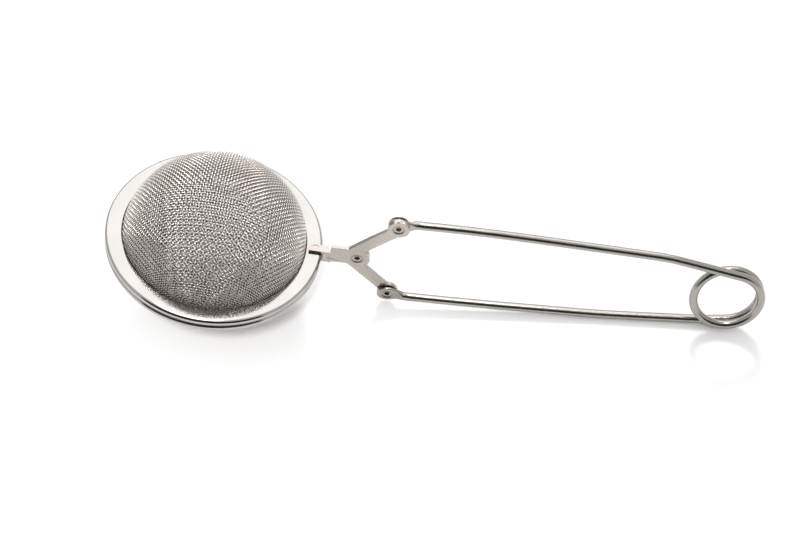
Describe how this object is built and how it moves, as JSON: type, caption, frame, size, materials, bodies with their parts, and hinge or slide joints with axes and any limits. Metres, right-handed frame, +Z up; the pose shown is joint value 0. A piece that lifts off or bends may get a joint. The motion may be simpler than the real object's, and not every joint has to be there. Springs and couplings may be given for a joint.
{
  "type": "tea infuser",
  "caption": "Squeeze-handle mesh tea ball: woven half domes in flat rims on crossed riveted arms, held shut by a coiled spring wire handle.",
  "frame": {"origin": "on the table, under the middle of the outline seen from above, with the ball and the lower leg lying on the table", "axes": "+X runs from the ball to the coil along the handle, +Y points away from the front plate, which faces -Y, and +Z is up from the table"},
  "size_m": [0.1815, 0.059, 0.0443],
  "materials": {
    "woven_mesh": "fine plain weave of bright stainless wire",
    "rim_sheet": "satin rolled sheet",
    "stamped_plate": "tumbled stamped sheet",
    "rivet": "plain pressed steel",
    "spring_wire": "bright drawn wire"
  },
  "bodies": {
    "lower_half": {"lower_mesh_dome": "woven_mesh", "lower_rim": "rim_sheet", "lower_arm": "stamped_plate", "pivot_rivet": "rivet", "lower_eye_rivet": "rivet"},
    "upper_half": {"upper_mesh_dome": "woven_mesh", "upper_rim": "rim_sheet", "upper_arm": "stamped_plate", "upper_eye_rivet": "rivet"},
    "lower_spring_leg": {"lower_leg": "spring_wire", "spring_coil": "spring_wire"},
    "upper_spring_leg": {"upper_leg": "spring_wire"}
  },
  "joints": [
    {"name": "jaw_open", "type": "hinge", "parent": "lower_half", "child": "upper_half", "pos_m": [-0.0224, 0, 0.01912], "axis": [0, 1, 0], "range_deg": [0, 66], "stiffness_Nm_per_rad": 0.07, "springref_deg": -40.11},
    {"name": "lower_eye_pivot", "type": "hinge", "parent": "lower_half", "child": "lower_spring_leg", "pos_m": [-0.01376, 0, 0.00407], "axis": [0, 1, 0], "range_deg": [0, 38]},
    {"name": "coil_torsion", "type": "hinge", "parent": "lower_spring_leg", "child": "upper_spring_leg", "pos_m": [0.08025, 0, 0.01113], "axis": [0, 1, 0], "range_deg": [-9.5, 0], "deforming": ["spring_coil"]}
  ],
  "couplings": [
    {"joint": "lower_eye_pivot", "follows": "jaw_open", "ratio": 0.568},
    {"joint": "coil_torsion", "follows": "jaw_open", "ratio": -0.1361}
  ]
}
